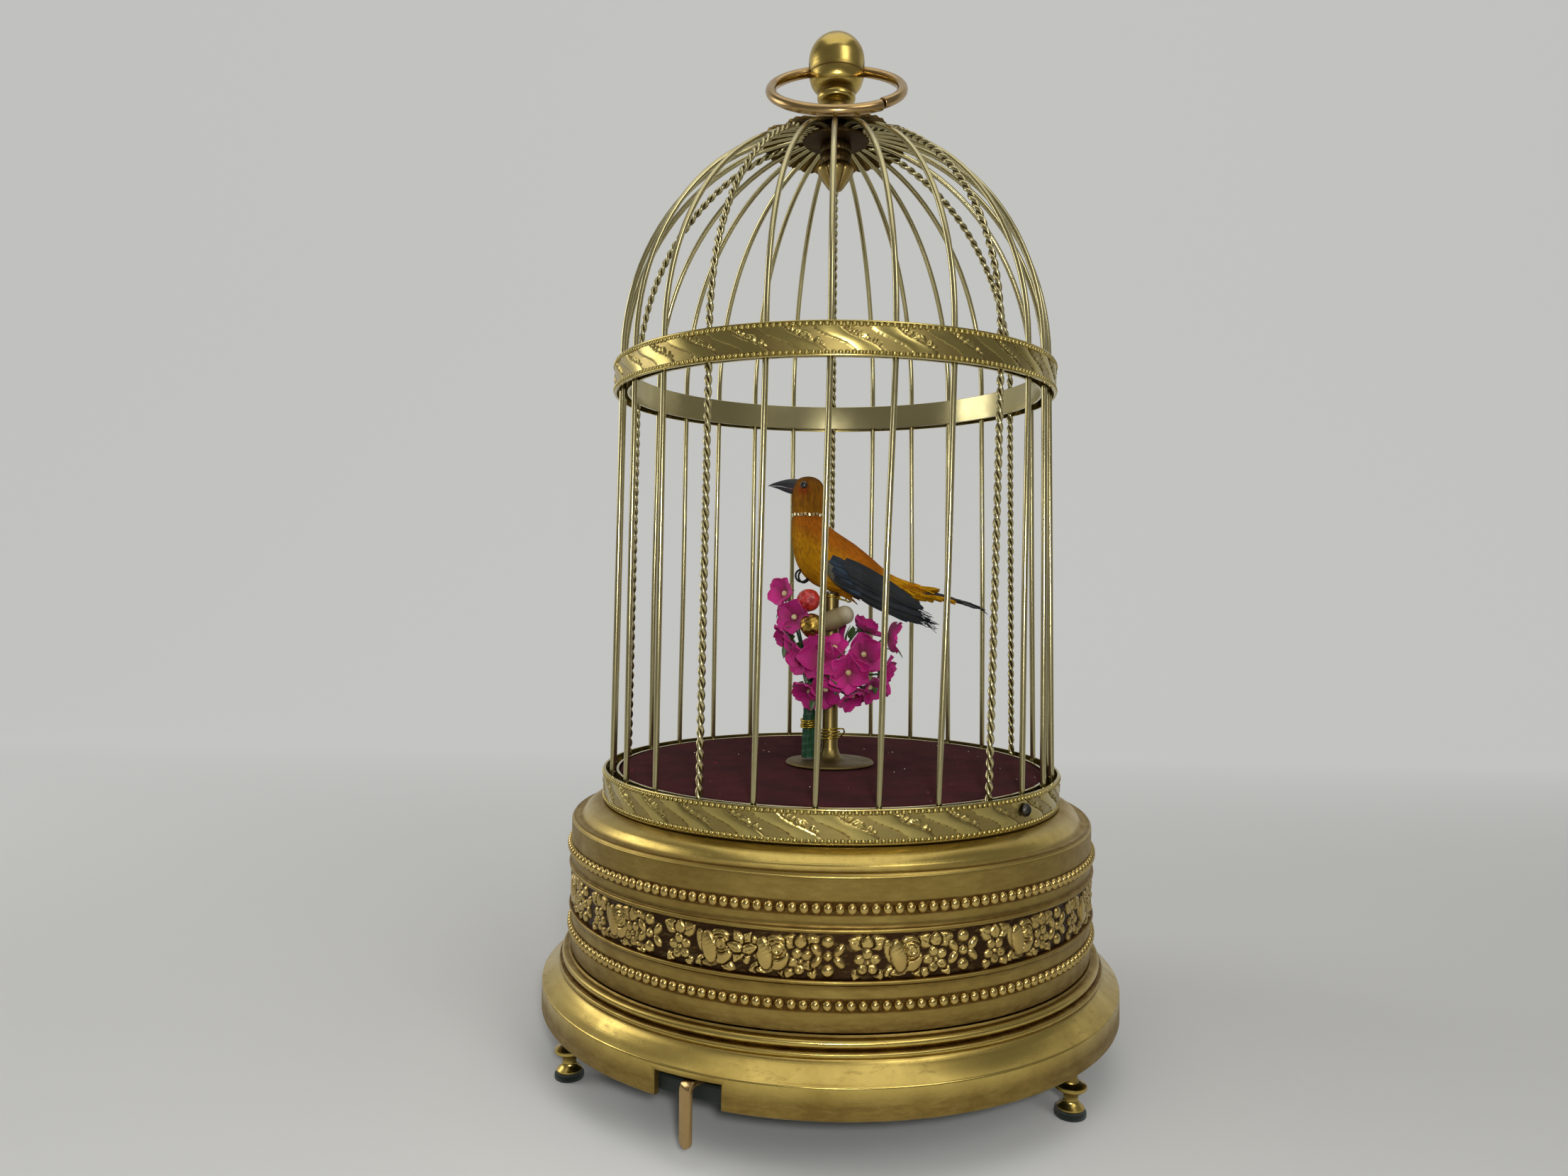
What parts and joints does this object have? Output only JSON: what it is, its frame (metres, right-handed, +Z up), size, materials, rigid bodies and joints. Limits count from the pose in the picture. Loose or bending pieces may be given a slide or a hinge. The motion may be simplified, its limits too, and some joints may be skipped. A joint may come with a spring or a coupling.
{
  "type": "singing bird automaton",
  "caption": "Domed brass bird cage on a round relief-banded drum: a feathered bird on a perch of paper flowers turns its head, opens its beak and moves its tail.",
  "frame": {"origin": "middle of the base on the surface that the feet stand on", "axes": "+Z up the cage's axis, -Y to the front with the start and stop lever, the bird faces -X"},
  "size_m": [0.16, 0.16, 0.2862],
  "materials": {
    "polished_brass": "lathe-polished with brown patina in the recesses",
    "aged_brass": "aged, matt between polished high spots",
    "movement_brass": "brushed",
    "grey_steel": "brushed",
    "dark_board": "black-green paint, matt",
    "green_felt": "felt",
    "burgundy_velvet": "short velvet pile",
    "orange_feather": "glued feathers",
    "brown_feather": "short glued feathers",
    "dark_feather": "long feathers",
    "black_horn": "smooth dark horn",
    "magenta_paper": "crepe paper",
    "gilt_wire": "soft drawn wire",
    "pale_leather": "thin suede",
    "bellows_wood": "oiled"
  },
  "bodies": {
    "case": {"foot_1": "polished_brass", "foot_2": "polished_brass", "foot_3": "polished_brass", "base_plinth": "polished_brass", "base_drum": "polished_brass", "finial": "polished_brass", "lower_outer_band": "aged_brass", "lower_inner_band": "aged_brass", "middle_outer_band": "aged_brass", "middle_inner_band": "aged_brass", "plain_bars": "aged_brass", "twisted_bar_1": "aged_brass", "twisted_bar_2": "aged_brass", "twisted_bar_3": "aged_brass", "twisted_bar_4": "aged_brass", "twisted_bar_5": "aged_brass", "crown_rosette": "aged_brass", "crown_nut": "aged_brass", "perch_tube": "aged_brass", "movement_lower_plate": "movement_brass", "movement_upper_plate": "movement_brass", "whistle_tube": "movement_brass", "band_screw_1": "grey_steel", "band_screw_2": "grey_steel", "band_screw_3": "grey_steel", "lever_pivot_screw": "grey_steel", "bottom_board": "dark_board", "foot_pad_1": "green_felt", "foot_pad_2": "green_felt", "foot_pad_3": "green_felt", "velvet_floor": "burgundy_velvet", "bird_body": "orange_feather", "bouquet": "magenta_paper", "binding_wire": "gilt_wire", "bellows_leather": "pale_leather", "bellows_fixed_board": "bellows_wood"},
    "bail": {"bail_ring": "aged_brass"},
    "stop_lever": {"start_stop_lever": "aged_brass"},
    "key": {"winding_key": "grey_steel", "winding_arbor": "grey_steel"},
    "barrel": {"spring_barrel": "movement_brass", "mainspring": "grey_steel"},
    "click": {"ratchet_click": "grey_steel"},
    "second_arbor": {"centre_wheel": "movement_brass"},
    "third_arbor": {"crank_wheel": "movement_brass"},
    "fly": {"governor_fly": "movement_brass"},
    "cams": {"cam_stack": "movement_brass"},
    "piston_rocker": {"piston_lever": "grey_steel"},
    "piston": {"whistle_piston": "grey_steel"},
    "head_rocker": {"head_lever": "grey_steel"},
    "head_spindle": {"head_rod": "grey_steel"},
    "head": {"bird_head": "brown_feather"},
    "lower_beak": {"bird_lower_beak": "black_horn"},
    "beak_rocker": {"beak_lever": "grey_steel"},
    "beak_lifter": {"beak_rod": "grey_steel"},
    "tail_rocker": {"tail_lever": "grey_steel"},
    "tail_lifter": {"tail_rod": "grey_steel"},
    "tail": {"bird_tail": "dark_feather"},
    "bellows_board": {"bellows_moving_board": "bellows_wood"},
    "drive_rod": {"connecting_rod": "movement_brass"}
  },
  "joints": [
    {"name": "bail_swing", "type": "hinge", "parent": "case", "child": "bail", "pos_m": [0, 0, 0.2755], "axis": [-1, 0, 0], "range_deg": [0, 258]},
    {"name": "stop_lever_swing", "type": "hinge", "parent": "case", "child": "stop_lever", "pos_m": [-0.00795, -0.04995, 0.0182], "axis": [0, 0, 1], "range_deg": [-6, 6]},
    {"name": "key_turn", "type": "hinge", "parent": "case", "child": "key", "pos_m": [0.024, -0.008, 0.0026], "axis": [0, 0, 1], "continuous": true},
    {"name": "barrel_turn", "type": "hinge", "parent": "case", "child": "barrel", "pos_m": [0.024, -0.008, 0.024], "axis": [0, 0, 1], "continuous": true},
    {"name": "click_lift", "type": "hinge", "parent": "case", "child": "click", "pos_m": [0.02, -0.02099, 0.0182], "axis": [0, 0, -1], "range_deg": [0, 12]},
    {"name": "second_arbor_turn", "type": "hinge", "parent": "case", "child": "second_arbor", "pos_m": [0.0015, -0.008, 0.024], "axis": [0, 0, 1], "continuous": true},
    {"name": "third_arbor_turn", "type": "hinge", "parent": "case", "child": "third_arbor", "pos_m": [0.0015, -0.026, 0.024], "axis": [0, 0, 1], "continuous": true},
    {"name": "fly_turn", "type": "hinge", "parent": "case", "child": "fly", "pos_m": [0.0105, -0.04158, 0.024], "axis": [0, 0, 1], "continuous": true},
    {"name": "cams_turn", "type": "hinge", "parent": "case", "child": "cams", "pos_m": [-0.021, -0.008, 0.024], "axis": [0, 0, 1], "continuous": true},
    {"name": "piston_lever_swing", "type": "hinge", "parent": "case", "child": "piston_rocker", "pos_m": [-0.03506, -0.02405, 0.0535], "axis": [0, 0, 1], "range_deg": [0, 10]},
    {"name": "piston_slide", "type": "slide", "parent": "case", "child": "piston", "axis": [0, -1, 0], "range_m": [0, 0.0024]},
    {"name": "head_lever_swing", "type": "hinge", "parent": "case", "child": "head_rocker", "pos_m": [-0.012, 0.01405, 0.056], "axis": [0, 0, 1], "range_deg": [-8, 8]},
    {"name": "head_rod_turn", "type": "hinge", "parent": "case", "child": "head_spindle", "pos_m": [0, 0, 0.056], "axis": [0, 0, 1], "range_deg": [-30, 30]},
    {"name": "head_turn", "type": "hinge", "parent": "case", "child": "head", "pos_m": [-0.0069, 0, 0.1488], "axis": [0, 0, 1], "range_deg": [-30, 30]},
    {"name": "beak_open", "type": "hinge", "parent": "head", "child": "lower_beak", "pos_m": [-0.0098, 0, 0.155], "axis": [0, -1, 0], "range_deg": [0, 20]},
    {"name": "beak_lever_swing", "type": "hinge", "parent": "case", "child": "beak_rocker", "pos_m": [-0.008, 0, 0.066], "axis": [0, -1, 0], "range_deg": [0, 11]},
    {"name": "beak_rod_lift", "type": "slide", "parent": "case", "child": "beak_lifter", "axis": [0, 0, 1], "range_m": [0, 0.0014]},
    {"name": "tail_lever_swing", "type": "hinge", "parent": "case", "child": "tail_rocker", "pos_m": [0, 0.00606, 0.066], "axis": [1, 0, 0], "range_deg": [0, 10]},
    {"name": "tail_rod_drop", "type": "slide", "parent": "case", "child": "tail_lifter", "axis": [0, 0, -1], "range_m": [0, 0.0011]},
    {"name": "tail_lift", "type": "hinge", "parent": "case", "child": "tail", "pos_m": [0.0216, 0, 0.1272], "axis": [0, -1, 0], "range_deg": [0, 12]},
    {"name": "bellows_swing", "type": "hinge", "parent": "case", "child": "bellows_board", "pos_m": [-0.03195, -0.057, 0.024], "axis": [0, 0, -1], "range_deg": [0, 6.5], "deforming": ["bellows_leather"]},
    {"name": "drive_rod_swing", "type": "hinge", "parent": "bellows_board", "child": "drive_rod", "pos_m": [0.0015, -0.04706, 0.0578], "axis": [0, 0, 1], "range_deg": [-7, 7]}
  ],
  "couplings": [
    {"joint": "second_arbor_turn", "follows": "barrel_turn", "ratio": -4},
    {"joint": "third_arbor_turn", "follows": "barrel_turn", "ratio": 12},
    {"joint": "fly_turn", "follows": "barrel_turn", "ratio": -36},
    {"joint": "cams_turn", "follows": "barrel_turn", "ratio": 1},
    {"joint": "piston_slide", "follows": "piston_lever_swing", "m_per_rad": 0.01294},
    {"joint": "head_rod_turn", "follows": "head_lever_swing", "ratio": -3.5},
    {"joint": "head_turn", "follows": "head_lever_swing", "ratio": -3.5},
    {"joint": "beak_open", "follows": "beak_lever_swing", "ratio": 1.8},
    {"joint": "beak_rod_lift", "follows": "beak_lever_swing", "m_per_rad": 0.00694},
    {"joint": "tail_rod_drop", "follows": "tail_lever_swing", "m_per_rad": 0.00606},
    {"joint": "tail_lift", "follows": "tail_lever_swing", "ratio": 1.2}
  ]
}
